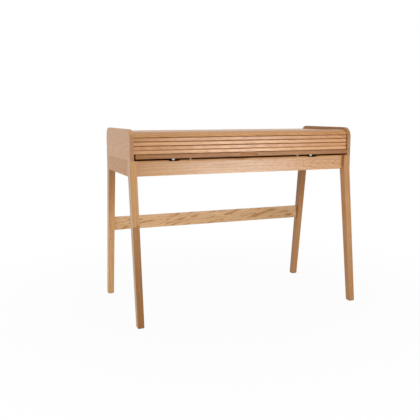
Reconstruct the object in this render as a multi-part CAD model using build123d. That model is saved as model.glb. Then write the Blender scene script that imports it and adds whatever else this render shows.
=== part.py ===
from build123d import *
import os

os.makedirs("parts", exist_ok=True)

# Overall sizes: X is the width, Y the depth with the front at -Y, Z is up from the floor
width = 1100.0
panel_depth = 440.0
height = 845.0

# Side panels
panel_height = 133.0
panel_thickness = 18.0
panel_corner = 46.0
panel_edge = 1.5

# Legs and leg frame
leg_width = 31.0
leg_foot_width = 29.0
leg_head_depth = 48.0
leg_knee_step = 8.0
leg_foot_depth = 30.0
leg_splay = 78.0
leg_knee_radius = 7.0
leg_bend_radius = 120.0
leg_edge = 1.5
glide_thickness = 3.0
glide_inset = 2.0

# Aprons, stretcher, blocks and dust board
apron_height = 66.0
apron_drop = 2.0
apron_thickness = 20.0
apron_setback = 19.5
side_apron_thickness = 20.0
stretcher_bottom = 335.0
stretcher_height = 65.5
stretcher_thickness = 16.0
stretcher_behind = 13.0
block_leg = 46.0
block_height = 44.0
board_thickness = 5.0
board_play = 0.5
board_screw_inset = 10.0

# Mortise and tenon joints, dowels
tenon_thickness = 8.0
tenon_shoulder = 12.0
tenon_length = 12.0
tenon_root = 1.0
joint_gap = 0.1
dowel_diameter = 8.0
dowel_length = 30.0
dowel_inset = 15.0

# Fixed top, nosing and back
top_drop = 15.5
top_thickness = 14.0
top_rear_inset = 20.0
nose_radius = 38.0
nose_setback = 2.0
nose_lip = 3.0
nose_drop = 18.5
nose_rise = 4.5
tongue_thickness = 5.0
tongue_length = 6.0
tongue_rear_inset = 12.0
back_thickness = 8.0
back_inset = 22.0

# Worktop
worktop_lift = 7.5
worktop_thickness = 19.0
worktop_gap = 5.0
worktop_rear_gap = 10.0
edge_depth = 20.0
edge_overhang = 8.0
edge_round = 2.5
scoop_length = 90.0
scoop_radius = 9.0
scoop_depth = 6.0
worktop_travel = 180.0

# Tambour curtain
slat_count = 4
slat_gap = 0.2
slat_overlap = 0.6
slat_thickness = 9.0
slat_setback = 8.0
slat_end_gap = 1.0
slat_round = 1.2
slat_lift = 0.8
slat_clearance = 1.0
shadow_height = 3.6
shadow_depth = 6.0
pin_diameter = 5.0
pin_engagement = 7.0
pin_depth = 10.0
groove_clearance = 0.3
groove_depth = 8.0
store_margin = 10.0
canvas_thickness = 1.0
canvas_margin = 30.0

# Pigeonholes
shelf_thickness = 10.0
shelf_lift = 3.5
shelf_depth = 180.0
divider_thickness = 10.0
divider_place = 180.0
divider_setback = 15.0
housing_depth = 3.0

# Slides, lying flat under the worktop
slide_place = 347.0
slide_width = 23.0
slide_setback = 11.0
slide_plate = 1.6
slide_wall = 2.5
slide_drop = 4.0
slide_play = 0.5
race_depth = 0.8
ball_diameter = 4.0
ball_fit = 0.05
ball_count = 6
ball_spacing = 30.0
cage_plate = 0.8
cage_wall = 1.0
cage_rise = 1.0
cage_margin = 20.0
bearer_width = 60.0
bearer_thickness = 20.0
notch_width = 49.0

# Glide buttons
button_place = 270.0
button_diameter = 11.0
button_stem = 5.0
button_stem_length = 10.0
button_clearance = 0.3

# Screws
screw_diameter = 3.5
screw_head = 7.0
screw_head_height = 1.8
screw_length = 14.0
block_screw_length = 22.0
block_screw_depth = 11.5
slide_screw_inset = 57.0
back_screw_place = 360.0

# Places worked out from the sizes above
front = -panel_depth / 2
rear = panel_depth / 2
panel_bottom = height - panel_height
apron_top = panel_bottom - apron_drop
apron_bottom = apron_top - apron_height
inner_face = width / 2 - panel_thickness
leg_inner = width / 2 - leg_width
leg_knee_depth = leg_head_depth - leg_knee_step
top_surface = height - top_drop
top_underside = top_surface - top_thickness
nose_axis_y = front + nose_setback + nose_radius
nose_axis_z = top_surface + nose_rise - nose_radius
lip_bottom = top_surface - nose_drop
back_outer = rear - back_inset
back_inner = back_outer - back_thickness
apron_front = front + apron_setback
apron_back = apron_front + apron_thickness
worktop_bottom = panel_bottom + worktop_lift
worktop_top = worktop_bottom + worktop_thickness
worktop_half = inner_face - worktop_gap
edge_front = front - edge_overhang
edge_back = edge_front + edge_depth
worktop_rear = back_inner - worktop_rear_gap
slat_face = front + slat_setback
slat_base = worktop_top + slat_lift
slat_pitch = (lip_bottom + slat_overlap + slat_gap - slat_base) / slat_count
slat_height = slat_pitch - slat_gap
slat_half = inner_face - slat_end_gap
pin_y = slat_face + slat_thickness / 2
pin_first_z = slat_base + slat_height / 2
pin_last_z = pin_first_z + (slat_count - 1) * slat_pitch
store_z = top_underside - slat_clearance - slat_thickness / 2
bend_radius = store_z - pin_last_z
store_rear = pin_y + bend_radius + store_margin + (slat_count - 1) * slat_pitch
groove_half = pin_diameter / 2 + groove_clearance
shelf_bottom = worktop_top + shelf_lift
shelf_top = shelf_bottom + shelf_thickness
shelf_front = back_inner - shelf_depth
slide_bottom = apron_top - slide_drop
slide_front = apron_front + slide_setback
slide_rear = -apron_back - slide_play
slide_length = slide_rear - slide_front
race_z = (slide_bottom + worktop_bottom) / 2 - race_depth
channel_inner = slide_width / 2 - slide_wall
ball_x = channel_inner + race_depth - ball_diameter / 2 - ball_fit
runner_outer = ball_x - ball_diameter / 2 - ball_fit + race_depth
cage_front = slide_front + worktop_travel / 2 + cage_margin
cage_base = slide_bottom + slide_plate + slide_play


def box(x0, x1, y0, y1, z0, z1):
    return Pos(x0, y0, z0) * Box(x1 - x0, y1 - y0, z1 - z0, align=(Align.MIN,) * 3)


def prism_x(face, x0, x1):
    return Pos(x0, 0, 0) * extrude(Plane.YZ * face, amount=x1 - x0)


def prism_y(face, y0, y1):
    return Pos(0, y0, 0) * extrude(Plane.XZ * face, amount=y0 - y1)


def rod_x(x0, x1, y, z, radius):
    return Pos((x0 + x1) / 2, y, z) * Rot(0, 90, 0) * Cylinder(radius, x1 - x0)


def rod_z(x, y, z0, z1, radius):
    return Pos(x, y, (z0 + z1) / 2) * Cylinder(radius, z1 - z0)


def outline(*points):
    return make_face(Polyline(*points, close=True))


def grown(tenon_box):
    x0, x1, y0, y1, z0, z1 = tenon_box
    g = joint_gap
    return box(x0 - g, x1 + g, y0 - g, y1 + g, z0 - g, z1 + g)


def mirrored(solid):
    return mirror(solid, Plane.YZ)


def both_sides(solid):
    return solid + mirrored(solid)


def on_both_sides(solids):
    return Compound(solids + [mirrored(s) for s in solids])


# Tenons, given as boxes so that the tenon and its mortise share one set of sizes
def apron_tenon(is_front):
    middle = (apron_front + apron_back) / 2
    y = middle if is_front else -middle
    return (leg_inner - tenon_root, leg_inner + tenon_length,
            y - tenon_thickness / 2, y + tenon_thickness / 2,
            apron_bottom + tenon_shoulder, apron_top - tenon_shoulder)


def side_tenon(is_front):
    x = width / 2 - side_apron_thickness / 2
    inner = front + leg_head_depth
    y0 = inner - tenon_length if is_front else -inner - tenon_root
    return (x - tenon_thickness / 2, x + tenon_thickness / 2, y0, y0 + tenon_length + tenon_root,
            apron_bottom + tenon_shoulder, apron_top - tenon_shoulder)


def stretcher_tenon():
    y = rear + stretcher_behind + stretcher_thickness / 2
    z1 = stretcher_bottom + stretcher_height
    return (leg_inner - tenon_root, leg_inner + tenon_length,
            y - tenon_thickness / 2, y + tenon_thickness / 2,
            stretcher_bottom + tenon_shoulder, z1 - tenon_shoulder)


def bearer_tenon(is_front):
    y0 = apron_back - tenon_thickness if is_front else -apron_back - tenon_root
    z = slide_bottom - bearer_thickness / 2
    return (slide_place - bearer_width / 2 + tenon_shoulder, slide_place + bearer_width / 2 - tenon_shoulder,
            y0, y0 + tenon_thickness + tenon_root, z - tenon_thickness / 2, z + tenon_thickness / 2)


# Side panels
def dowel_places():
    x = width / 2 - panel_thickness / 2
    return [(x, front + dowel_inset), (x, 0), (x, rear - dowel_inset)]


def tambour_groove():
    r0 = bend_radius - groove_half
    r1 = bend_radius + groove_half
    turn_y = pin_y + bend_radius
    ring = Pos(turn_y, pin_last_z) * (Circle(r1) - Circle(r0))
    corner = Pos(turn_y, pin_last_z) * Rectangle(2 * r1, 2 * r1, align=(Align.MAX, Align.MIN))
    start = pin_first_z - groove_half
    climb = pin_last_z - start
    rise = Pos(pin_y, start) * Rectangle(2 * groove_half, climb, align=(Align.CENTER, Align.MIN))
    run = store_rear + groove_half - turn_y
    back = Pos(turn_y, store_z) * Rectangle(run, 2 * groove_half, align=(Align.MIN, Align.CENTER))
    return (ring & corner) + rise + back


def right_side_panel():
    face = Pos(0, (panel_bottom + height) / 2) * Rectangle(panel_depth, height - panel_bottom)
    face = fillet(face.vertices().group_by(Axis.Y)[-1], panel_corner)
    solid = prism_x(face, inner_face, width / 2)
    rims = [e for e in solid.edges() if e.bounding_box().size.X < panel_edge
            and e.center().Z > panel_bottom + panel_edge]
    solid = fillet(rims, panel_edge)
    solid -= prism_x(tambour_groove(), inner_face, inner_face + groove_depth)
    solid -= grown(top_tongue())
    solid -= grown(shelf_tongue())
    solid -= box(inner_face, inner_face + tongue_length + joint_gap, back_inner - joint_gap,
                 back_outer + joint_gap, panel_bottom, top_underside + joint_gap)
    for x, y in dowel_places():
        solid -= rod_z(x, y, panel_bottom, panel_bottom + dowel_length / 2, dowel_diameter / 2)
    return solid


# Legs: the side view gives splay and knee, the front view gives the taper
def leg_inner_x(z):
    return leg_inner + (leg_width - leg_foot_width) * (panel_bottom - z) / panel_bottom


def leg_profile():
    foot = front - leg_splay
    face = outline((front, panel_bottom), (front, apron_bottom), (foot, 0), (foot + leg_foot_depth, 0),
                   (front + leg_knee_depth, apron_bottom), (front + leg_head_depth, apron_bottom),
                   (front + leg_head_depth, panel_bottom))
    knee = face.vertices().sort_by_distance((front + leg_knee_depth, apron_bottom, 0))[0]
    face = fillet(knee, leg_knee_radius)
    bend = face.vertices().sort_by_distance((front, apron_bottom, 0))[0]
    return fillet(bend, leg_bend_radius)


def leg_blank():
    outer = width / 2
    solid = prism_x(leg_profile(), leg_inner, outer)
    taper = outline((leg_inner, panel_bottom), (leg_inner_x(0), 0), (outer, 0), (outer, panel_bottom))
    solid &= prism_y(taper, front - leg_splay, front + leg_head_depth)
    solid -= box(0, width, -panel_depth, panel_depth, 0, glide_thickness)
    joint = front + leg_head_depth - leg_edge
    long_edges = [e for e in solid.edges() if e.bounding_box().size.Z > leg_edge and e.center().Y < joint]
    return fillet(long_edges, leg_edge)


def right_leg(is_front):
    solid = leg_blank()
    if not is_front:
        solid = mirror(solid, Plane.XZ)
        solid -= grown(stretcher_tenon())
    solid -= grown(apron_tenon(is_front))
    solid -= grown(side_tenon(is_front))
    for x, y in dowel_places():
        solid -= rod_z(x, y, panel_bottom - dowel_length / 2, panel_bottom, dowel_diameter / 2)
    return solid


def leg_glides():
    foot = front - leg_splay
    pad = box(leg_inner_x(0) + glide_inset, width / 2 - glide_inset,
              foot + glide_inset, foot + leg_foot_depth - glide_inset, 0, glide_thickness)
    return on_both_sides([pad, mirror(pad, Plane.XZ)])


# Aprons and stretcher
def right_side_apron():
    inner = front + leg_head_depth
    solid = box(width / 2 - side_apron_thickness, width / 2, inner, -inner, apron_bottom, panel_bottom)
    solid += box(*side_tenon(True)) + box(*side_tenon(False))
    for x, y in dowel_places():
        solid -= rod_z(x, y, panel_bottom - dowel_length / 2, panel_bottom, dowel_diameter / 2)
    for screw in block_screws_right():
        solid -= screw
    return solid


def rail_outline(z0, z1):
    x0, x1 = leg_inner_x(z0), leg_inner_x(z1)
    return outline((-x0, z0), (x0, z0), (x1, z1), (-x1, z1))


def apron_blank(is_front):
    y0, y1 = (apron_front, apron_back) if is_front else (-apron_back, -apron_front)
    solid = prism_y(rail_outline(apron_bottom, apron_top), y0, y1)
    solid += both_sides(box(*apron_tenon(is_front)))
    solid -= both_sides(grown(bearer_tenon(is_front)))
    for screw in block_screws_right():
        solid -= both_sides(screw)
    return solid


def front_apron():
    solid = apron_blank(True)
    half = notch_width / 2
    solid -= both_sides(box(slide_place - half, slide_place + half, apron_front, apron_back,
                            slide_bottom, apron_top))
    solid -= both_sides(rod_z(button_place, button_y(), apron_top - button_stem_length, apron_top,
                              button_stem / 2))
    return solid


def rear_apron():
    return apron_blank(False)


def stretcher():
    y = rear + stretcher_behind
    face = rail_outline(stretcher_bottom, stretcher_bottom + stretcher_height)
    solid = prism_y(face, y, y + stretcher_thickness)
    return fillet(solid.edges().filter_by(Axis.X), leg_edge) + both_sides(box(*stretcher_tenon()))


def right_bearer():
    solid = box(slide_place - bearer_width / 2, slide_place + bearer_width / 2, apron_back, -apron_back,
                slide_bottom - bearer_thickness, slide_bottom)
    solid += box(*bearer_tenon(True)) + box(*bearer_tenon(False))
    for screw in channel_screws_right():
        solid -= screw
    return solid


# Corner blocks and their screws
def block_base():
    return (apron_bottom + apron_top - block_height) / 2


def corner_blocks():
    inner = front + leg_head_depth
    side = width / 2 - side_apron_thickness
    face = outline((leg_inner, apron_back), (leg_inner, inner), (side, inner),
                   (side, apron_back + block_leg), (leg_inner - block_leg, apron_back))
    block = Pos(0, 0, block_base()) * extrude(face, amount=block_height)
    for screw in block_screws_right() + board_screws_right():
        block -= screw
    return on_both_sides([block, mirror(block, Plane.XZ)])


def screw_shape(length):
    shank = Pos(0, 0, length / 2) * Cylinder(screw_diameter / 2, length)
    head = Pos(0, 0, -screw_head_height / 2) * Cylinder(screw_head / 2, screw_head_height)
    return shank + head


def block_screws_right():
    z = block_base() + block_height / 2
    inner = front + leg_head_depth
    side = width / 2 - side_apron_thickness
    to_apron = Pos(leg_inner - block_leg / 2, apron_back + block_screw_depth, z) * Rot(90, 0, 0)
    to_side = Pos(side - block_screw_depth, inner + block_leg / 2, z) * Rot(0, 90, 0)
    near = [to_apron * screw_shape(block_screw_length), to_side * screw_shape(block_screw_length)]
    return near + [mirror(s, Plane.XZ) for s in near]


# Dust board, screwed up into the corner blocks
def dust_board():
    reach = width / 2 - side_apron_thickness - board_play
    front_edge = apron_back + board_play
    top = block_base()
    solid = box(-reach, reach, front_edge, -front_edge, top - board_thickness, top)
    corner = box(leg_inner - board_play, width, front, front + leg_head_depth + board_play, 0, height)
    solid -= both_sides(corner) + both_sides(mirror(corner, Plane.XZ))
    for screw in board_screws_right():
        solid -= both_sides(screw)
    return solid


def board_screws_right():
    near = Pos(leg_inner - board_screw_inset, front + leg_head_depth + board_screw_inset,
               block_base() - board_thickness) * screw_shape(board_thickness + screw_length)
    return [near, mirror(near, Plane.XZ)]


# Dowels between the side panels and the frame
def panel_dowels():
    rods = [rod_z(x, y, panel_bottom - dowel_length / 2, panel_bottom + dowel_length / 2, dowel_diameter / 2)
            for x, y in dowel_places()]
    return on_both_sides(rods)


# Fixed top, nosing, back and pigeonholes: the nosing stands a little above the top
def top_tongue():
    z = (top_surface + top_underside) / 2
    y1 = rear - top_rear_inset - tongue_rear_inset
    return (inner_face - tenon_root, inner_face + tongue_length, nose_axis_y + tongue_length, y1,
            z - tongue_thickness / 2, z + tongue_thickness / 2)


def nose_tongue():
    z = (top_surface + top_underside) / 2
    return (-inner_face, inner_face, nose_axis_y - tongue_length, nose_axis_y + tenon_root,
            z - tongue_thickness / 2, z + tongue_thickness / 2)


def top_panel():
    solid = box(-inner_face, inner_face, nose_axis_y, rear - top_rear_inset, top_underside, top_surface)
    rear_edges = solid.edges().filter_by(Axis.X).group_by(Axis.Y)[-1]
    solid = fillet(rear_edges, panel_edge)
    return solid + both_sides(box(*top_tongue())) + box(*nose_tongue())


def top_nosing():
    r1, r0 = nose_radius, nose_radius - nose_lip
    shell = Pos(nose_axis_y, nose_axis_z) * Circle(r1)
    hollow = Pos(nose_axis_y, nose_axis_z) * Circle(r0)
    hollow &= Pos(nose_axis_y, top_underside) * Rectangle(2 * r1, 2 * r1, align=(Align.CENTER, Align.MAX))
    window = Pos(nose_axis_y, lip_bottom) * Rectangle(2 * r1, 2 * r1, align=(Align.MAX, Align.MIN))
    face = (shell - hollow) & window
    crest = face.vertices().sort_by_distance((nose_axis_y, nose_axis_z + r1, 0))[0]
    face = fillet(crest, panel_edge)
    return prism_x(face, -inner_face, inner_face) - grown(nose_tongue())


def back_panel():
    reach = inner_face + tongue_length
    solid = box(-reach, reach, back_inner, back_outer, apron_top, top_underside)
    below = box(leg_inner, width, back_inner, back_outer, apron_top, panel_bottom)
    solid -= both_sides(below)
    for screw in back_screw_list():
        solid -= screw
    return solid


def shelf_tongue():
    z = (shelf_bottom + shelf_top) / 2
    y0, y1 = shelf_front + tongue_length, back_inner - tongue_length
    return (inner_face - tenon_root, inner_face + tongue_length, y0, y1,
            z - tongue_thickness / 2, z + tongue_thickness / 2)


def pigeonhole_shelf():
    solid = box(-inner_face, inner_face, shelf_front, back_inner, shelf_bottom, shelf_top)
    solid = fillet(solid.edges().filter_by(Axis.X).group_by(Axis.Y)[0], panel_edge)
    solid += both_sides(box(*shelf_tongue()))
    solid -= both_sides(right_divider())
    for screw in back_screw_list():
        solid -= screw
    return solid


def right_divider():
    half = divider_thickness / 2
    return box(divider_place - half, divider_place + half, shelf_front + divider_setback, back_inner,
               shelf_top - housing_depth, top_underside)


def back_screw_list():
    z = (shelf_bottom + shelf_top) / 2
    places = [-back_screw_place, 0, back_screw_place]
    length = screw_length + back_thickness
    return [Pos(x, back_outer, z) * Rot(90, 0, 0) * screw_shape(length) for x in places]


def back_screws():
    return Compound(back_screw_list())


# Worktop
def edge_tongue():
    z = (worktop_bottom + worktop_top) / 2
    reach = worktop_half - tongue_length
    return (-reach, reach, edge_back - tenon_root, edge_back + tongue_length,
            z - tongue_thickness / 2, z + tongue_thickness / 2)


def worktop_board():
    solid = box(-worktop_half, worktop_half, edge_back, worktop_rear, worktop_bottom, worktop_top)
    solid -= grown(edge_tongue())
    for screw in runner_screws_right():
        solid -= both_sides(screw)
    return solid


def worktop_front_edge():
    solid = box(-worktop_half, worktop_half, edge_front, edge_back, worktop_bottom, worktop_top)
    solid = fillet(solid.edges().filter_by(Axis.X).group_by(Axis.Y)[0], edge_round)
    middle = scoop_length / 2 - scoop_radius
    y = edge_front + scoop_depth - scoop_radius
    z = worktop_bottom + scoop_depth
    scoop = rod_x(-middle, middle, y, z, scoop_radius)
    for sx in (-1, 1):
        scoop += Pos(sx * middle, y, z) * Sphere(scoop_radius)
    return solid - scoop + box(*edge_tongue())


# Tambour: a step along the top of each slat makes the shadow line under the one above
def tambour_slat(number):
    z = slat_base + number * slat_pitch
    solid = box(-slat_half, slat_half, slat_face, slat_face + slat_thickness, z, z + slat_height)
    solid -= box(-slat_half, slat_half, slat_face, slat_face + shadow_depth,
                 z + slat_height - shadow_height, z + slat_height)
    solid = fillet(solid.edges().filter_by(Axis.X).group_by(Axis.Y)[0], slat_round)
    return solid - both_sides(slat_pin(number))


def slat_pin(number):
    z = pin_first_z + number * slat_pitch
    return rod_x(slat_half - pin_depth, inner_face + pin_engagement, pin_y, z, pin_diameter / 2)


def tambour_pins():
    right = [slat_pin(number) for number in range(slat_count)]
    return on_both_sides(right)


def tambour_canvas():
    y = slat_face + slat_thickness
    top = slat_base + slat_count * slat_pitch - slat_gap
    return box(canvas_margin - slat_half, slat_half - canvas_margin, y, y + canvas_thickness,
               slat_base + canvas_thickness, top - canvas_thickness)


# Slides
def race(x):
    radius = ball_diameter / 2 + ball_fit
    return Pos(x, (slide_front + slide_rear) / 2, race_z) * Rot(90, 0, 0) * Cylinder(radius, slide_length)


def slide_races():
    return race(slide_place - ball_x) + race(slide_place + ball_x)


def right_slide_channel():
    half = slide_width / 2
    wall_top = worktop_bottom - slide_plate - slide_play
    solid = box(slide_place - half, slide_place + half, slide_front, slide_rear, slide_bottom, wall_top)
    solid -= box(slide_place - channel_inner, slide_place + channel_inner, slide_front, slide_rear,
                 slide_bottom + slide_plate, wall_top)
    solid -= slide_races()
    for screw in channel_screws_right():
        solid -= screw
    return solid


# The runner's front end is closed by a tab bent down from its plate
def right_slide_runner():
    wall_bottom = cage_base + cage_plate + slide_play
    inside = runner_outer - slide_wall
    solid = box(slide_place - runner_outer, slide_place + runner_outer, slide_front, slide_rear,
                wall_bottom, worktop_bottom)
    solid -= box(slide_place - inside, slide_place + inside, slide_front + slide_plate, slide_rear,
                 wall_bottom, worktop_bottom - slide_plate)
    solid -= slide_races()
    for screw in runner_screws_right():
        solid -= screw
    return solid


def right_ball_cage():
    half = ball_x + cage_wall / 2
    top = race_z + cage_rise
    end = cage_front + ball_count * ball_spacing
    solid = box(slide_place - half, slide_place + half, cage_front, end, cage_base, top)
    solid -= box(slide_place - half + cage_wall, slide_place + half - cage_wall, cage_front, end,
                 cage_base + cage_plate, top)
    for sx in (-1, 1):
        for n in range(ball_count):
            y = cage_front + (n + 0.5) * ball_spacing
            solid += Pos(slide_place + sx * ball_x, y, race_z) * Sphere(ball_diameter / 2)
    return solid


def screw_rows():
    return [slide_front + slide_screw_inset, (slide_front + slide_rear) / 2, slide_rear - slide_screw_inset]


def channel_screws_right():
    z = slide_bottom + slide_plate
    shank = Pos(0, 0, -screw_length / 2) * Cylinder(screw_diameter / 2, screw_length)
    sunk = Pos(0, 0, -slide_plate / 2) * Cone(screw_diameter / 2, screw_head / 2, slide_plate)
    return [Pos(slide_place, y, z) * (shank + sunk) for y in screw_rows()]


def runner_screws_right():
    z = worktop_bottom - slide_plate
    return [Pos(slide_place, y, z) * screw_shape(screw_length) for y in screw_rows()]


# Glide buttons
def button_y():
    return apron_front + button_diameter / 2 + panel_edge


def glide_buttons():
    top = worktop_bottom - button_clearance
    button = rod_z(button_place, button_y(), apron_top, top, button_diameter / 2)
    button += rod_z(button_place, button_y(), apron_top - button_stem_length, apron_top, button_stem / 2)
    return on_both_sides([button])


nodes = {
    "top_panel": top_panel(),
    "top_nosing": top_nosing(),
    "back_panel": back_panel(),
    "front_apron": front_apron(),
    "rear_apron": rear_apron(),
    "stretcher": stretcher(),
    "pigeonhole_shelf": pigeonhole_shelf(),
    "worktop_board": worktop_board(),
    "worktop_front_edge": worktop_front_edge(),
    "tambour_canvas": tambour_canvas(),
    "tambour_pins": tambour_pins(),
    "corner_blocks": corner_blocks(),
    "dust_board": dust_board(),
    "panel_dowels": panel_dowels(),
    "leg_glides": leg_glides(),
    "glide_buttons": glide_buttons(),
    "block_screws": on_both_sides(block_screws_right()),
    "board_screws": on_both_sides(board_screws_right()),
    "back_screws": back_screws(),
    "channel_screws": on_both_sides(channel_screws_right()),
    "runner_screws": on_both_sides(runner_screws_right()),
}
pairs = {
    "side_panel": right_side_panel(),
    "side_apron": right_side_apron(),
    "bearer": right_bearer(),
    "divider": right_divider(),
    "slide_channel": right_slide_channel(),
    "slide_runner": right_slide_runner(),
    "ball_cage": right_ball_cage(),
}
pairs["front_leg"] = right_leg(True)
pairs["rear_leg"] = right_leg(False)
for name, solid in pairs.items():
    nodes["right_" + name] = solid
    nodes["left_" + name] = mirrored(solid)
for number in range(slat_count):
    nodes[f"tambour_slat_{number + 1}"] = tambour_slat(number)

for name, shape in nodes.items():
    export_step(shape, f"parts/{name}.step")
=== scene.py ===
# %% [markdown]
# A small oak writing desk with a roll top. Four splayed legs carry an apron frame, two side panels and a
# fixed top. Between the panels hangs a curtain of four slats, and under it a worktop pulls out on two metal
# slides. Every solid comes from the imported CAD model, so this lesson is about finishes, one strip of cloth,
# light and camera.

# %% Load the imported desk
import bmesh
import bpy
import math
from mathutils import Euler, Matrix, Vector


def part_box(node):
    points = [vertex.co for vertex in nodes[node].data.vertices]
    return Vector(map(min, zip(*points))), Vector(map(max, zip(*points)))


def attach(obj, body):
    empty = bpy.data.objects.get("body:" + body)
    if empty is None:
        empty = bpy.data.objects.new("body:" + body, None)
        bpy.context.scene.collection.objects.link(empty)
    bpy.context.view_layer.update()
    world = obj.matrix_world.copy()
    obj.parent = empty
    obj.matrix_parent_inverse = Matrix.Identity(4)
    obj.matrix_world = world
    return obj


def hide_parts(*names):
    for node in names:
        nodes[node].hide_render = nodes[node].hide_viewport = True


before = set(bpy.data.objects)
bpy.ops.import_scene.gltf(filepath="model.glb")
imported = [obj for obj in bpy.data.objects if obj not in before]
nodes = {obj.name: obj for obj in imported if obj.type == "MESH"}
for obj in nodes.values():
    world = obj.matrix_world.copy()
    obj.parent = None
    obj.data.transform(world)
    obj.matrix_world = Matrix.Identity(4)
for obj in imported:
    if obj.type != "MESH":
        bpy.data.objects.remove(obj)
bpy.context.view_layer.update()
print("pieces from the CAD model:", len(nodes))

# %% [markdown]
# The camera stands in front of the desk and to its left, a little above the top, and looks down by nine
# degrees. A camera could be aimed by eye, but the edges of the desk in the photograph fix its place, angle
# and lens. The lens is written as a focal length in pixels, because that is how it was measured, and then
# turned into millimetres.

# %% Camera
camera_place = Vector((-1.206, -2.743, 0.914))
camera_yaw, camera_pitch = 0.384, 0.157
focal_pixels, frame_pixels, sensor_width = 613.8, 420, 36
look = Vector((math.sin(camera_yaw) * math.cos(camera_pitch),
               math.cos(camera_yaw) * math.cos(camera_pitch), -math.sin(camera_pitch)))
camera = bpy.data.objects.new("camera", bpy.data.cameras.new("camera"))
camera.data.sensor_width = sensor_width
camera.data.lens = sensor_width * focal_pixels / frame_pixels
camera.location = camera_place
camera.rotation_euler = look.to_track_quat("-Z", "Y").to_euler()
bpy.context.scene.collection.objects.link(camera)
bpy.context.scene.camera = camera
bpy.context.scene.view_settings.view_transform = "Standard"
print("lens in millimetres:", round(camera.data.lens, 2))

# %% [markdown]
# Materials are built from nodes, and a node is easier to read when its settings and its wires stand in one
# call. The first helper makes a node, sets its properties, and fills each input with a number, a colour or
# a wire. The others are the few nodes that every finish on this desk needs: arithmetic, a soft step from one
# value to another, one axis of a place, and the side that a face looks to.

# %% Node helpers
def add_node(tree, kind, inputs=None, **settings):
    made = tree.nodes.new(kind)
    for name, value in settings.items():
        setattr(made, name, value)
    for socket, value in (inputs or {}).items():
        if isinstance(value, bpy.types.NodeSocket):
            tree.links.new(value, made.inputs[socket])
        else:
            made.inputs[socket].default_value = value
    return made


def math_node(tree, operation, a, b=0.0, clamp=False):
    return add_node(tree, "ShaderNodeMath", {0: a, 1: b}, operation=operation, use_clamp=clamp).outputs[0]


def smooth_step(tree, value, low, high, start=0.0, end=1.0):
    return add_node(tree, "ShaderNodeMapRange", {0: value, 1: low, 2: high, 3: start, 4: end},
                    interpolation_type="SMOOTHSTEP").outputs[0]


def object_place(tree):
    return add_node(tree, "ShaderNodeTexCoord").outputs["Object"]


def one_axis(tree, vector, axis):
    return add_node(tree, "ShaderNodeSeparateXYZ", {0: vector}).outputs[axis]


def facing(tree, axis):
    return one_axis(tree, add_node(tree, "ShaderNodeTexCoord").outputs["Normal"], axis)


def vector_length(tree, vector):
    return add_node(tree, "ShaderNodeVectorMath", {0: vector}, operation="LENGTH").outputs["Value"]


print("node helpers are ready in Blender", bpy.app.version_string)

# %% [markdown]
# Colours are written as they are seen on a screen, from 0 to 255, and turned into the linear light that
# shaders work in. A tone is a tint to multiply by: below one it makes the wood darker, above one paler.
# Every material on the desk ends in the same three nodes, a bump, a shader and an output, so one helper
# finishes them all. Values that are the same all over a surface go straight into the shader.

# %% Colours and surfaces
def seen_colour(red, green, blue):
    return tuple(((c / 255 + 0.055) / 1.055) ** 2.4 for c in (red, green, blue)) + (1.0,)


def mix_colours(tree, share, first, second, blend="MIX"):
    return add_node(tree, "ShaderNodeMix", {0: share, 6: first, 7: second}, data_type="RGBA",
                    blend_type=blend).outputs[2]


def tinted(tree, share, colour, tone):
    return mix_colours(tree, share, colour, tone, "MULTIPLY")


def new_material(name):
    material = bpy.data.materials.new(name)
    material.use_nodes = True
    material.node_tree.nodes.clear()
    return material, material.node_tree


def finish_surface(tree, colour, roughness, height, strength, distance, **constants):
    relief = add_node(tree, "ShaderNodeBump", {"Strength": strength, "Distance": distance, "Height": height})
    shader = add_node(tree, "ShaderNodeBsdfPrincipled", {
        "Base Color": colour, "Roughness": roughness, "Normal": relief.outputs[0], **constants})
    add_node(tree, "ShaderNodeOutputMaterial", {"Surface": shader.outputs[0]})


def dress(piece, material):
    mesh = nodes[piece].data
    mesh.materials.clear()
    mesh.materials.append(material)


print("a seen mid grey in linear light:", round(seen_colour(128, 128, 128)[0], 3))

# %% [markdown]
# The desk was photographed on white. The floor is a pale matte sheet that still takes the desk's shadow.
# To the camera and to mirrors most of its colour is plain white light, so the shadow is only a breath of
# grey. That could be done with a brighter lamp on the floor, but then the lamp would light the desk too.

# %% Floor
floor_reach, floor_grey = 12, 0.7
shadow_start, shadow_end = 0.5, 1.8
white_near, white_far = 0.95, 1.0


def backdrop_rays(tree):
    path = add_node(tree, "ShaderNodeLightPath")
    seen = math_node(tree, "ADD", path.outputs["Is Camera Ray"], path.outputs["Is Glossy Ray"])
    return math_node(tree, "ADD", seen, path.outputs["Is Transmission Ray"], clamp=True)


floor_material, tree = new_material("studio_floor")
matte = add_node(tree, "ShaderNodeBsdfDiffuse", {"Color": (floor_grey, floor_grey, floor_grey, 1)})
white = add_node(tree, "ShaderNodeEmission", {"Color": (1, 1, 1, 1), "Strength": 1.0})
distance = vector_length(tree, object_place(tree))
fade = smooth_step(tree, distance, shadow_start, shadow_end, white_near, white_far)
share = math_node(tree, "MULTIPLY", backdrop_rays(tree), fade)
floor_shader = add_node(tree, "ShaderNodeMixShader", {0: share, 1: matte.outputs[0], 2: white.outputs[0]})
add_node(tree, "ShaderNodeOutputMaterial", {"Surface": floor_shader.outputs[0]})
shape = bmesh.new()
bmesh.ops.create_grid(shape, x_segments=1, y_segments=1, size=floor_reach)
floor = bpy.data.objects.new("floor", bpy.data.meshes.new("floor"))
shape.to_mesh(floor.data)
shape.free()
floor.data.materials.append(floor_material)
bpy.context.scene.collection.objects.link(floor)
print("floor width in metres:", round(floor.dimensions.x, 1))

# %% [markdown]
# Light comes from the white room around, a wide softbox overhead, a fill on the left and a low softbox on
# the right. One strong lamp would be simpler, but its shadows would be hard. The low softbox stands where the
# flat front mirrors it towards the camera. The oiled wood is only half smooth, so that mirror image spreads
# into a pale sheen over the middle of the desk, while both ends keep the full colour of the oak.

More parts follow.
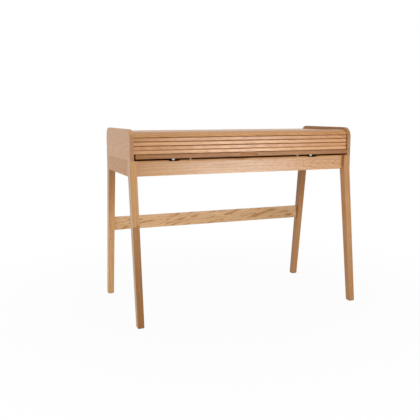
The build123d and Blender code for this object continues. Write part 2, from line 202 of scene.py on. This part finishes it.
# %% Room light and softboxes
world = bpy.data.worlds.new("white_room")
world.use_nodes = True
tree = world.node_tree
tree.nodes.clear()
room_level = 0.6
seen = backdrop_rays(tree)
level = math_node(tree, "ADD", math_node(tree, "MULTIPLY", seen, 1 - room_level), room_level)
room = add_node(tree, "ShaderNodeBackground", {"Color": (1, 1, 1, 1), "Strength": level})
add_node(tree, "ShaderNodeOutputWorld", {"Surface": room.outputs[0]})
bpy.context.scene.world = world


def softbox(name, place, aim, size, power):
    lamp = bpy.data.lights.new(name, "AREA")
    lamp.shape = "RECTANGLE"
    lamp.size, lamp.size_y = size
    lamp.energy = power
    holder = bpy.data.objects.new(name, lamp)
    holder.location = place
    holder.rotation_euler = (Vector(aim) - Vector(place)).to_track_quat("-Z", "Y").to_euler()
    bpy.context.scene.collection.objects.link(holder)
    print(name, "watts:", power)


softbox("overhead_softbox", place=(0.2, -0.4, 3.2), aim=(0.0, 0.0, 0.4), size=(2.6, 2.6), power=10)
softbox("left_fill", place=(-3.2, -0.9, 1.0), aim=(-0.5, 0.0, 0.6), size=(2.0, 1.6), power=18)
softbox("low_softbox", place=(1.25, -3.0, 0.6), aim=(-0.05, -0.2, 0.7), size=(1.0, 1.0), power=38)

# %% [markdown]
# Oak is a solid pattern, not a picture on a surface. A board is a slice of a log, so its figure follows from
# where the heart of the log lay: the growth rings are distances from the heart, stretched along the grain.
# Each ring starts with open dark spring wood and turns pale. Noise makes the rings wander, and the same noise
# at other lengths gives fibres, pores, ray flecks and a slow drift of colour. Ray flecks lie askew to the
# grain, so their noise is turned before it is stretched.

# %% Rings and noise
ring_stretch, rings_per_metre, ring_wander = 0.09, 160, 0.02
wander_lengths = (0.4, 0.07, 0.07)
ring_edge_grey = 0.9
ring_greys = ((0.18, 0.75), (0.5, 0.15), (0.88, 0.0))
noise_roughness = 0.55


def stretched_noise(tree, place, lengths, detail, turn=0.0, distortion=0.0):
    scaled = add_node(tree, "ShaderNodeMapping", {
        "Vector": place, "Rotation": (0, turn, 0), "Scale": lengths}, vector_type="TEXTURE")
    return add_node(tree, "ShaderNodeTexNoise", {
        "Vector": scaled.outputs[0], "Scale": 1.0, "Detail": detail, "Roughness": noise_roughness,
        "Distortion": distortion}).outputs[0]


def growth_rings(tree, place):
    drawn_out = add_node(tree, "ShaderNodeMapping", {"Vector": place, "Scale": (ring_stretch, 1, 1)})
    wander = math_node(tree, "MULTIPLY", stretched_noise(tree, place, wander_lengths, detail=3), ring_wander)
    radius = math_node(tree, "ADD", vector_length(tree, drawn_out.outputs[0]), wander)
    ring = math_node(tree, "FRACT", math_node(tree, "MULTIPLY", radius, rings_per_metre))
    ramp = add_node(tree, "ShaderNodeValToRGB", {0: ring})
    stops = ramp.color_ramp.elements
    for end in (stops[0], stops[1]):
        end.color = (ring_edge_grey, ring_edge_grey, ring_edge_grey, 1)
    for position, grey in ring_greys:
        stops.new(position).color = (grey, grey, grey, 1)
    return ramp.outputs[0]


print("rings in each metre of the log:", rings_per_metre)

# %% [markdown]
# A group now turns a place in the log into rings, fibres, pores, ray flecks and drift. The same nodes could
# be copied into each board, but one group keeps the wood the same wood. Lengths are in metres: the first
# number is along the grain, and the other two are across it.

# %% Oak in the log
pore_lengths, fibre_lengths = (0.033, 0.00125, 0.00125), (0.2, 0.0067, 0.0067)
fleck_lengths, drift_lengths = (0.068, 0.06, 0.0085), (0.75, 0.17, 0.17)
fleck_turn, fleck_bend = -0.22, 0.45
pore_limits, fleck_limits = (0.56, 0.7), (0.53, 0.66)
oak_log = bpy.data.node_groups.new("oak_in_the_log", "ShaderNodeTree")
oak_log.interface.new_socket("Place", in_out="INPUT", socket_type="NodeSocketVector")
for name in ("Rings", "Fibres", "Pores", "Flecks", "Drift"):
    oak_log.interface.new_socket(name, in_out="OUTPUT", socket_type="NodeSocketFloat")
place = add_node(oak_log, "NodeGroupInput").outputs[0]
pores = stretched_noise(oak_log, place, pore_lengths, detail=1)
flecks = stretched_noise(oak_log, place, fleck_lengths, detail=1.5, turn=fleck_turn, distortion=fleck_bend)
add_node(oak_log, "NodeGroupOutput", {
    "Rings": growth_rings(oak_log, place),
    "Fibres": stretched_noise(oak_log, place, fibre_lengths, detail=3),
    "Pores": smooth_step(oak_log, pores, *pore_limits),
    "Flecks": smooth_step(oak_log, flecks, *fleck_limits),
    "Drift": stretched_noise(oak_log, place, drift_lengths, detail=1)})
print("shared oak nodes:", len(oak_log.nodes))

# %% [markdown]
# One board then needs a few facts: which way its grain runs, where its middle sits in the log, its pale and
# its deep colour, and how much of the ray figure shows. End grain drinks more oil than long grain, so faces
# square to the grain are darker, by as much as the board is thirsty. Dullness is the roughness of the oil,
# from polished through satin to unsanded. It is one number, or a function for a board that is polished in
# some places only. A figure is a function too, for colour that changes over one board.

# %% One oak board
turns = {"x": (0, 0, 0), "y": (0, 0, -math.pi / 2), "z": (0, math.pi / 2, 0)}
polished, satin, unsanded = 0.165, 0.28, 0.85
fibre_roughness, fibre_height = 0.16, 0.5
relief_strength, relief_depth, oil_ior = 0.25, 0.0004, 1.4
end_grain_tone, end_grain_sharpness = (0.66, 0.58, 0.52, 1), 4.0
pore_colour, pore_share = seen_colour(120, 78, 45), 0.35
ring_weight, fibre_weight, drift_weight, pale_start = 0.42, 0.75, 0.5, -0.42


def darker_end_grain(tree, colour, normal, turn, thirst):
    turned = add_node(tree, "ShaderNodeMapping", {"Vector": normal, "Rotation": turn})
    along_grain = math_node(tree, "ABSOLUTE", one_axis(tree, turned.outputs[0], "X"))
    end_grain = math_node(tree, "POWER", along_grain, end_grain_sharpness)
    return tinted(tree, math_node(tree, "MULTIPLY", end_grain, thirst), colour, end_grain_tone)


def oak_board(piece, grain, heart, pale, deep, rays=0.0, tilt=0.0, figure=None, thirst=0.9,
              dullness=polished):
    material, tree = new_material("oak_" + piece)
    turn = (tilt, *turns[grain][1:])
    low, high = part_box(piece)
    middle = Euler(turn).to_matrix() @ ((low + high) / 2)
    coordinates = add_node(tree, "ShaderNodeTexCoord")
    place = coordinates.outputs["Object"]
    in_log = add_node(tree, "ShaderNodeMapping", {
        "Vector": place, "Rotation": turn, "Location": Vector(heart) - middle})
    wood = add_node(tree, "ShaderNodeGroup", {0: in_log.outputs[0]}, node_tree=oak_log)
    rings, fibres, pores, flecks, drift = wood.outputs
    depth = pale_start
    weights = (ring_weight, fibre_weight, drift_weight, rays)
    for pattern, weight in zip((rings, fibres, drift, flecks), weights):
        depth = math_node(tree, "ADD", math_node(tree, "MULTIPLY", pattern, weight), depth)
    colour = mix_colours(tree, math_node(tree, "MAXIMUM", depth, 0.0), pale, deep)
    colour = mix_colours(tree, math_node(tree, "MULTIPLY", pores, pore_share), colour, pore_colour)
    if figure:
        colour = figure(tree, place, colour)
    colour = darker_end_grain(tree, colour, coordinates.outputs["Normal"], turn, thirst)
    if callable(dullness):
        dullness = dullness(tree, place)
    roughness = math_node(tree, "ADD", math_node(tree, "MULTIPLY", fibres, fibre_roughness), dullness)
    height = math_node(tree, "SUBTRACT", math_node(tree, "MULTIPLY", fibres, fibre_height), pores)
    finish_surface(tree, colour, roughness, height, relief_strength, relief_depth, IOR=oil_ior)
    return material


print("roughness of the oil, from", polished, "to", unsanded)

# %% [markdown]
# The front left leg is faced with two lengths of oak. The lower length is browner and has a ripple across the
# grain, and it starts at a slanted glue line a little above half height. A second material with a cut in the
# mesh would do it too, but the mesh belongs to the CAD model, so the change of wood is a step in the colour
# instead. Only faces that look to the front take it, because the side of the leg shows the wood behind the
# facing. The right front leg is one length and darker towards its foot, and its inner side is painted paler,
# as painted light. The rear legs are painted darker towards the top, as painted shade under the desk.

# %% Legs that change colour
glue_line_height, glue_line_slope, glue_line_blur = 0.437, 0.5, 0.004
left_leg_middle = -0.535
share_on_the_side = 0.15
ripple_heights, ripple_paleness, ripple_scale = (0.2, 0.45), (0.3, 1.4), 36.0
ripple_deep, ripple_pale = (0.55, 0.45, 0.28, 1), (0.8, 0.69, 0.49, 1)
foot_heights, foot_tone = (0.5, 0.15), (0.87, 0.87, 0.86, 1)
# painted light: the inner side of the right front leg is tinted paler
inner_side_painted_light = (1.34, 1.32, 1.25, 1)
# painted shade: the rear legs are tinted darker towards their tops, in the shade under the desk
leg_top_heights, leg_top_painted_shade = (0.3, 0.6), (0.67, 0.6, 0.5, 1)


def browner_below_the_glue_line(tree, place, colour):
    height = one_axis(tree, place, "Z")
    across = math_node(tree, "SUBTRACT", one_axis(tree, place, "X"), left_leg_middle)
    above = math_node(tree, "SUBTRACT", height, math_node(tree, "MULTIPLY", across, glue_line_slope))
    line_bottom, line_top = glue_line_height - glue_line_blur, glue_line_height + glue_line_blur
    below = smooth_step(tree, above, line_bottom, line_top, 1.0, 0.0)
    on_front = smooth_step(tree, facing(tree, "Y"), -0.8, -0.4, 1.0, share_on_the_side)
    ripple = add_node(tree, "ShaderNodeTexWave", {
        "Vector": place, "Scale": ripple_scale, "Distortion": 5.0, "Detail": 2.0, "Detail Scale": 0.6},
        bands_direction="Z")
    upper_end = smooth_step(tree, height, *ripple_heights, *ripple_paleness)
    paler = math_node(tree, "MULTIPLY", ripple.outputs["Fac"], upper_end, clamp=True)
    tone = mix_colours(tree, paler, ripple_deep, ripple_pale)
    return tinted(tree, math_node(tree, "MULTIPLY", below, on_front), colour, tone)


def painted_light_on_the_inside(tree, place, colour):
    near_foot = smooth_step(tree, one_axis(tree, place, "Z"), *foot_heights)
    on_inner_side = smooth_step(tree, facing(tree, "X"), -0.5, -0.9)
    # painted light on the inner side, and a darker foot
    return tinted(tree, on_inner_side, tinted(tree, near_foot, colour, foot_tone), inner_side_painted_light)


def painted_shade_towards_the_top(tree, place, colour):
    near_top = smooth_step(tree, one_axis(tree, place, "Z"), *leg_top_heights)
    # painted shade towards the top of the leg
    return tinted(tree, near_top, colour, leg_top_painted_shade)


print("glue line on the left leg, metres above the floor:", glue_line_height)

# %% [markdown]
# The front apron is cut through the middle of its log, and the thin lines of its rings close into arches at
# the right end: circles about a point just past the end, drawn out along the grain. Its top edge is painted
# paler, as painted light in the shade under the worktop's edge, and the strip just below it never saw the
# polish and is a little paler. In the middle, below the scoop, a painted shadow darkens the wood. All this
# could be painted on by hand, but a place on the board is enough to work it out. Other boards only turn
# darker towards the right, and one function serves them all; on the stretcher that is painted shade.

# %% Figured boards
arch_centre, arch_stretch, arches_per_metre = (0.62, 0.673), 0.17, 140
arch_wander_lengths, arch_wander = (0.06, 0.02, 0.02), 0.012
arch_start, arch_full = -0.1, 0.35
arch_line_edge, arch_line_middle = 0.34, 0.5
strip_bottom, strip_top = 0.696, 0.712
# painted shadow below the scoop on the apron: its place, reach and tone
scoop_shadow_place, scoop_shadow_reach = (-0.03, 0.712), (0.06, 0.017)
arch_tone, scoop_shadow_tone = (0.82, 0.73, 0.62, 1), (0.66, 0.58, 0.47, 1)
# painted light: the top edge tone makes the apron's shaded top edge paler
top_edge_painted_light, strip_tone = (1.5, 1.35, 1.2, 1), (1.1, 1.08, 1.05, 1)


def distance_on_the_front(tree, place, centre, scale):
    apart = add_node(tree, "ShaderNodeMapping", {
        "Vector": place, "Scale": (scale[0], 0, scale[1]),
        "Location": (-centre[0] * scale[0], 0, -centre[1] * scale[1])})
    return vector_length(tree, apart.outputs[0])


def arched_at_the_right_end(tree, place, colour):
    noise = stretched_noise(tree, place, arch_wander_lengths, detail=2)
    radius = distance_on_the_front(tree, place, arch_centre, (arch_stretch, 1))
    wandering = math_node(tree, "ADD", radius, math_node(tree, "MULTIPLY", noise, arch_wander))
    count = math_node(tree, "MULTIPLY", wandering, arches_per_metre)
    to_and_fro = math_node(tree, "PINGPONG", count, arch_line_middle)
    line = smooth_step(tree, to_and_fro, arch_line_edge, arch_line_middle)
    near_the_end = smooth_step(tree, one_axis(tree, place, "X"), arch_start, arch_full)
    return tinted(tree, math_node(tree, "MULTIPLY", line, near_the_end), colour, arch_tone)


def top_edge_and_strip(tree, place):
    on_top = smooth_step(tree, facing(tree, "Z"), 0.3, 0.7)
    on_front = math_node(tree, "SUBTRACT", 1.0, on_top)
    high_up = smooth_step(tree, one_axis(tree, place, "Z"), strip_bottom, strip_top)
    return on_top, math_node(tree, "MULTIPLY", high_up, on_front)


def front_apron_figure(tree, place, colour):
    colour = arched_at_the_right_end(tree, place, colour)
    on_top, in_the_strip = top_edge_and_strip(tree, place)
    # painted light on the shaded top edge
    colour = tinted(tree, on_top, colour, top_edge_painted_light)
    colour = tinted(tree, in_the_strip, colour, strip_tone)
    # painted shadow on the apron below the scoop
    scoop_shadow = distance_on_the_front(tree, place, scoop_shadow_place, (1 / scoop_shadow_reach[0], 1 / scoop_shadow_reach[1]))
    return tinted(tree, smooth_step(tree, scoop_shadow, 1.0, 0.1), colour, scoop_shadow_tone)


def duller_near_the_top(tree, place):
    share = math_node(tree, "ADD", *top_edge_and_strip(tree, place), clamp=True)
    return smooth_step(tree, share, 0.0, 1.0, polished, unsanded)


# darker towards the right; on the stretcher this is painted shade
def darker_to_the_right(start, end, tone):
    def figure(tree, place, colour):
        return tinted(tree, smooth_step(tree, one_axis(tree, place, "X"), start, end), colour, tone)
    return figure


print("ring lines in the apron's arches, in each metre:", arches_per_metre)

# %% [markdown]
# The frame of the desk: aprons, stretcher, legs, panels, top and nosing. Each board names its grain, its
# place in the log and its colours. The stretcher is cut towards the heart, so it shows broad dark rays. The
# legs lean, so their grain is tilted to lie along them, front legs one way and rear legs the other. A loop
# then makes one material for each board.

# %% Oak frame
honey = dict(pale=seen_colour(212, 166, 118), deep=seen_colour(181, 128, 81))
leg_oak = dict(pale=seen_colour(207, 157, 101), deep=seen_colour(172, 118, 65))
pale_leg_oak = dict(pale=seen_colour(222, 172, 116), deep=seen_colour(192, 139, 85))
dark_leg_oak = dict(pale=seen_colour(191, 140, 87), deep=seen_colour(161, 107, 57))
# painted shade: darker oak for the right panel, for the shade on its inner face above the top
painted_shade_oak = dict(pale=seen_colour(180, 132, 82), deep=seen_colour(150, 102, 56))
panel_oak = dict(pale=seen_colour(213, 162, 115), deep=seen_colour(185, 134, 89))
brown_oak = dict(pale=seen_colour(205, 145, 78), deep=seen_colour(172, 112, 51))
ray_oak = dict(pale=seen_colour(238, 199, 149), deep=seen_colour(186, 130, 70), rays=1.15)
nose_oak = dict(pale=seen_colour(214, 161, 107), deep=seen_colour(164, 106, 54))
leg_splay, leg_drop = 0.078, 0.644
lean = math.atan2(leg_splay, leg_drop)
boards = {
    "front_apron": dict(grain="x", heart=(0.1, 0.12, 0.05), figure=front_apron_figure,
                        dullness=duller_near_the_top, **honey),
    "rear_apron": dict(grain="x", heart=(-0.5, 0.06, 0.02), **honey),
    # painted shade: the stretcher is darker towards the right, as the light falls from the left
    "stretcher": dict(grain="x", heart=(2.3, 0.02, 0.3), **ray_oak,
                      figure=darker_to_the_right(start=-0.3, end=0.45, tone=(0.89, 0.9, 0.89, 1))),
    "left_side_panel": dict(grain="y", heart=(0.5, 0.05, 0.03), dullness=satin, **panel_oak),
    # painted shade on the right panel; a low thirst keeps its front edge from darkening further
    "right_side_panel": dict(grain="y", heart=(-0.9, 0.06, 0.02), thirst=0.2, **painted_shade_oak),
    "left_side_apron": dict(grain="y", heart=(1.2, 0.04, 0.02), dullness=satin, **brown_oak),
    "right_side_apron": dict(grain="y", heart=(-1.5, 0.05, 0.02), **brown_oak),
    "left_front_leg": dict(grain="z", heart=(0.25, 0.12, 0.06), tilt=lean, **leg_oak,
                           figure=browner_below_the_glue_line),
    "right_front_leg": dict(grain="z", heart=(-0.3, 0.24, 0.15), tilt=lean, **dark_leg_oak,
                            figure=painted_light_on_the_inside),
    "left_rear_leg": dict(grain="z", heart=(0.35, 0.36, 0.1), tilt=-lean, **pale_leg_oak,
                          figure=painted_shade_towards_the_top),
    "right_rear_leg": dict(grain="z", heart=(-0.15, 0.5, 0.2), tilt=-lean, **dark_leg_oak,
                           figure=painted_shade_towards_the_top),
    "top_panel": dict(grain="x", heart=(0.7, 0.1, 0.05), dullness=satin, **honey),
    "top_nosing": dict(grain="x", heart=(1.7, 0.08, 0.05), **nose_oak,
                       figure=darker_to_the_right(start=0.25, end=0.45, tone=(0.91, 0.85, 0.77, 1))),
}
for piece, facts in boards.items():
    dress(piece, oak_board(piece, **facts))
print("oak boards:", len(boards))

# %% [markdown]
# The four slats are ripped from different boards, so one is pinker and the next yellower. Naming a colour for
# each slat costs a line and gives the curtain its life. The step at each joint is never sanded or polished,
# so it is duller, and everything set back from the face is painted darker, as painted shade in the step, so
# that the joints read as firm lines from across the room. The painted shade is faintest at the lowest joint,
# and one slat has a browner right end.

# %% Tambour slats
slat_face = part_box("tambour_slat_1")[0].y
step_start, step_end = 0.001, 0.004
# painted shade: these tones tint everything set back from a slat's face darker, as shade in the step
step_painted_shade, lighter_step_painted_shade = (0.66, 0.53, 0.37, 1), (0.71, 0.58, 0.41, 1)
faint_step_painted_shade = (0.93, 0.84, 0.73, 1)
browner_slat_end = darker_to_the_right(start=0.2, end=0.4, tone=(0.93, 0.88, 0.83, 1))


def step_share(tree, place, outside, inside):
    depth = math_node(tree, "SUBTRACT", one_axis(tree, place, "Y"), slat_face)
    return smooth_step(tree, depth, step_start, step_end, outside, inside)


def duller_in_the_step(tree, place):
    return step_share(tree, place, polished, unsanded)


def slat_figure(step_tone, right_end=None):
    def figure(tree, place, colour):
        # painted shade in the step, where the slat is set back from its face
        colour = tinted(tree, step_share(tree, place, 0.0, 1.0), colour, step_tone)
        return right_end(tree, place, colour) if right_end else colour
    return figure


slats = {
    "tambour_slat_4": dict(heart=(0.3, 0.09, 0.02), pale=seen_colour(207, 154, 105),
                           deep=seen_colour(176, 119, 70), figure=slat_figure(step_painted_shade)),
    "tambour_slat_3": dict(heart=(0.8, 0.07, 0.06), pale=seen_colour(217, 166, 115),
                           deep=seen_colour(188, 135, 84), figure=slat_figure(step_painted_shade)),
    "tambour_slat_2": dict(heart=(-0.45, 0.03, 0.002), pale=seen_colour(211, 157, 108),
                           deep=seen_colour(180, 122, 75),
                           figure=slat_figure(lighter_step_painted_shade, browner_slat_end)),
    "tambour_slat_1": dict(heart=(0.6, 0.12, 0.09), pale=seen_colour(225, 175, 123),
                           deep=seen_colour(198, 145, 94), figure=slat_figure(faint_step_painted_shade)),
}
for piece, facts in slats.items():
    dress(piece, oak_board(piece, grain="x", dullness=duller_in_the_step, **facts))
print("slats:", len(slats))

# %% [markdown]
# The worktop is oak too, but stained a redder brown. Its solid front edge is the dark band under the slats.
# It turns browner to the right, and the scoop in its middle is painted paler, as painted sheen that its
# slanted faces don't catch. The scoop is found by its place: within its half length, and set back from the
# face by no more than its depth. The board behind the edge has a stronger figure and a duller surface, so
# that a lamp behind it doesn't glare.

# %% Worktop
edge_oak = dict(pale=seen_colour(167, 111, 54), deep=seen_colour(135, 83, 34), dullness=0.3)
board_oak = dict(pale=seen_colour(182, 127, 70), deep=seen_colour(120, 70, 28), dullness=0.5)
edge_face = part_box("worktop_front_edge")[0].y
scoop_half_length, scoop_depth, scoop_blur = 0.045, 0.006, 0.002
scoop_lip = (0.0002, 0.001)
# painted sheen: the scoop is tinted paler and bluer, for sheen its slanted faces don't catch
scoop_painted_sheen = (1.2, 1.31, 1.82, 1)
browner_edge = darker_to_the_right(start=0.25, end=0.45, tone=(0.86, 0.81, 0.82, 1))


# painted sheen in the scoop, and darker towards the right
def painted_sheen_in_the_scoop(tree, place, colour):
    depth = math_node(tree, "SUBTRACT", one_axis(tree, place, "Y"), edge_face)
    behind_the_face = smooth_step(tree, depth, *scoop_lip)
    within_depth = smooth_step(tree, depth, scoop_depth + scoop_blur, scoop_depth)
    from_middle = math_node(tree, "ABSOLUTE", one_axis(tree, place, "X"))
    within_length = smooth_step(tree, from_middle, scoop_half_length + scoop_blur, scoop_half_length)
    in_scoop = math_node(tree, "MULTIPLY", math_node(tree, "MULTIPLY", behind_the_face, within_depth),
                         within_length)
    return browner_edge(tree, place, tinted(tree, in_scoop, colour, scoop_painted_sheen))


dress("worktop_front_edge", oak_board("worktop_front_edge", grain="x", heart=(0.8, 0.2, 0.06),
                                      figure=painted_sheen_in_the_scoop, **edge_oak))
dress("worktop_board", oak_board("worktop_board", grain="x", heart=(-0.6, 0.1, 0.05), **board_oak))
print("scoop in the worktop's edge, metres long:", 2 * scoop_half_length)

# %% [markdown]
# The inside of the desk, which shows when the curtain is up, is the same oak as the frame, left a little
# paler. Bearers, blocks, dowels and the dust board under the slides are raw beech, which nobody sees until
# the desk is turned over. They could share one plain brown, but a board function makes real wood as easily.

# %% Inside
inner_oak = dict(pale=seen_colour(216, 176, 132), deep=seen_colour(178, 130, 86))
raw_beech = dict(pale=seen_colour(224, 186, 144), deep=seen_colour(196, 150, 110))
inside = {
    "back_panel": dict(grain="x", heart=(1.0, 0.04, 0.02), **inner_oak),
    "pigeonhole_shelf": dict(grain="x", heart=(1.8, 0.03, 0.05), **inner_oak),
    "left_divider": dict(grain="y", heart=(0.4, 0.05, 0.02), **inner_oak),
    "right_divider": dict(grain="y", heart=(1.4, 0.05, 0.02), **inner_oak),
    "left_bearer": dict(grain="y", heart=(2.4, 0.2, 0.2), **raw_beech),
    "right_bearer": dict(grain="y", heart=(3.4, 0.2, 0.2), **raw_beech),
    "corner_blocks": dict(grain="x", heart=(4.4, 0.3, 0.2), **raw_beech),
    "panel_dowels": dict(grain="z", heart=(5.4, 0.3, 0.2), **raw_beech),
    "dust_board": dict(grain="x", heart=(0.3, 0.06, 0.03), **raw_beech),
}
for piece, facts in inside.items():
    dress(piece, oak_board(piece, **facts))
print("pieces inside:", len(inside))

# %% [markdown]
# The slides are plated steel with the soft mottle that plating leaves and faint lines where the strip was
# drawn. The outer channels are blackened, so that they vanish in their slots, and the runners and cages are
# dull zinc. The screws are the same zinc, brighter. Three materials could be written out, but they differ
# only in two colours and a roughness, so one function makes them all.

# %% Plated steel
mottle_scale, drawn_lengths, line_roughness = 220.0, (0.0011, 0.125, 0.0011), 0.2


def plated_steel(name, light, dark, roughness):
    material, tree = new_material(name)
    place = object_place(tree)
    mottle = add_node(tree, "ShaderNodeTexNoise", {"Vector": place, "Scale": mottle_scale, "Detail": 3.0})
    lines = stretched_noise(tree, place, drawn_lengths, detail=1)
    rough = math_node(tree, "ADD", math_node(tree, "MULTIPLY", lines, line_roughness), roughness)
    colour = mix_colours(tree, mottle.outputs[0], light, dark)
    finish_surface(tree, colour, rough, lines, strength=0.1, distance=0.0002, Metallic=1.0)
    return material


slide_steel = plated_steel("slide_steel", seen_colour(150, 148, 143), seen_colour(124, 122, 118), 0.38)
screw_steel = plated_steel("screw_steel", seen_colour(196, 194, 184), seen_colour(150, 148, 140), 0.32)
black_steel = plated_steel("black_steel", seen_colour(44, 42, 40), seen_colour(28, 27, 26), 0.5)
for steel, endings in ((black_steel, "slide_channel"), (slide_steel, ("slide_runner", "ball_cage")),
                       (screw_steel, "screws")):
    pieces = [name for name in nodes if name.endswith(endings)]
    for piece in pieces:
        dress(piece, steel)
    print(steel.name, "pieces:", len(pieces))

# %% [markdown]
# Pins and glide buttons are turned from pale nylon, and the glides under the feet are dark. One flat colour
# would do from afar, but near by it would look like paint. Both have the fine matte grain of moulded plastic,
# which a little noise in colour, roughness and bump gives.

# %% Moulded plastic
plastic_grain_scale, plastic_grain_roughness = 900.0, 0.2


def moulded(name, light, dark, roughness):
    material, tree = new_material(name)
    grain = add_node(tree, "ShaderNodeTexNoise", {
        "Vector": object_place(tree), "Scale": plastic_grain_scale, "Detail": 2.0}).outputs[0]
    rough = math_node(tree, "ADD", math_node(tree, "MULTIPLY", grain, plastic_grain_roughness), roughness)
    colour = mix_colours(tree, grain, light, dark)
    finish_surface(tree, colour, rough, grain, strength=0.2, distance=0.0002)
    return material


pale_nylon = moulded("pale_nylon", seen_colour(180, 167, 149), seen_colour(156, 144, 128), 0.45)
dark_glide = moulded("dark_glide", seen_colour(70, 62, 54), seen_colour(50, 44, 38), 0.5)
plastics = {"tambour_pins": pale_nylon, "glide_buttons": pale_nylon, "leg_glides": dark_glide}
for piece, plastic in plastics.items():
    dress(piece, plastic)
    print(piece, "is", plastic.name)

# %% [markdown]
# The slats are glued to one strip of canvas, which is what makes them a curtain. It is cloth, so it isn't
# left as the plain CAD bar. A fine grid takes its place: it is glued flat behind each slat and stands off
# a little at the joints between them, where it has to bend. A modifier gives it thickness, a little less than
# the CAD bar has, so that it stays clear of the slats.

# %% Canvas strip
low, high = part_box("tambour_canvas")
canvas_size = (high.x - low.x, high.z - low.z)
thickness_share = 0.8
canvas_columns, canvas_rows = 80, 96
joint_reach, joint_rise = 0.003, 0.0005
slat_bottoms = [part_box(piece)[0].z for piece in slats]
shape = bmesh.new()
bmesh.ops.create_grid(shape, x_segments=canvas_columns, y_segments=canvas_rows, size=0.5)
bmesh.ops.scale(shape, vec=(canvas_size[0], canvas_size[1], 1), verts=shape.verts)
upright = Euler((math.pi / 2, 0, 0)).to_matrix()
bmesh.ops.rotate(shape, cent=(0, 0, 0), matrix=upright, verts=shape.verts)
bmesh.ops.translate(shape, vec=((low + high) / 2), verts=shape.verts)
for vert in shape.verts:
    nearest = min(abs(vert.co.z - bottom) for bottom in slat_bottoms)
    vert.co.y += joint_rise * max(0.0, 1 - (nearest / joint_reach) ** 2)
canvas = bpy.data.objects.new("canvas_strip", bpy.data.meshes.new("canvas_strip"))
shape.to_mesh(canvas.data)
shape.free()
bpy.context.scene.collection.objects.link(canvas)
thick = canvas.modifiers.new("cloth_thickness", "SOLIDIFY")
thick.thickness = (high.y - low.y) * thickness_share
thick.offset = 0
print("canvas strip in metres:", [round(v, 4) for v in canvas_size])

# %% [markdown]
# A plain weave is two sets of threads at right angles. Every thread could be modelled, but nobody sees one
# alone: two wave textures multiplied give the pattern where they cross, which is enough for colour and bump.
# The strip then rides on the curtain.

# %% Canvas weave
thread_scale, thread_wobble, cloth_roughness = 160.0, 0.6, 0.9
thread_shade, thread_light = seen_colour(150, 130, 100), seen_colour(206, 190, 160)
canvas_material, tree = new_material("canvas_weave")
place = object_place(tree)
threads = [add_node(tree, "ShaderNodeTexWave", {
    "Vector": place, "Scale": thread_scale, "Distortion": thread_wobble},
    bands_direction=way).outputs["Fac"] for way in ("X", "Z")]
weave = math_node(tree, "MULTIPLY", *threads)
colour = mix_colours(tree, weave, thread_shade, thread_light)
finish_surface(tree, colour, cloth_roughness, weave, strength=0.6, distance=0.0005, **{"Sheen Weight": 0.3})
canvas.data.materials.append(canvas_material)
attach(canvas, "tambour")
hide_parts("tambour_canvas")
print("canvas rides on the tambour and rests on", len(slats), "slats")
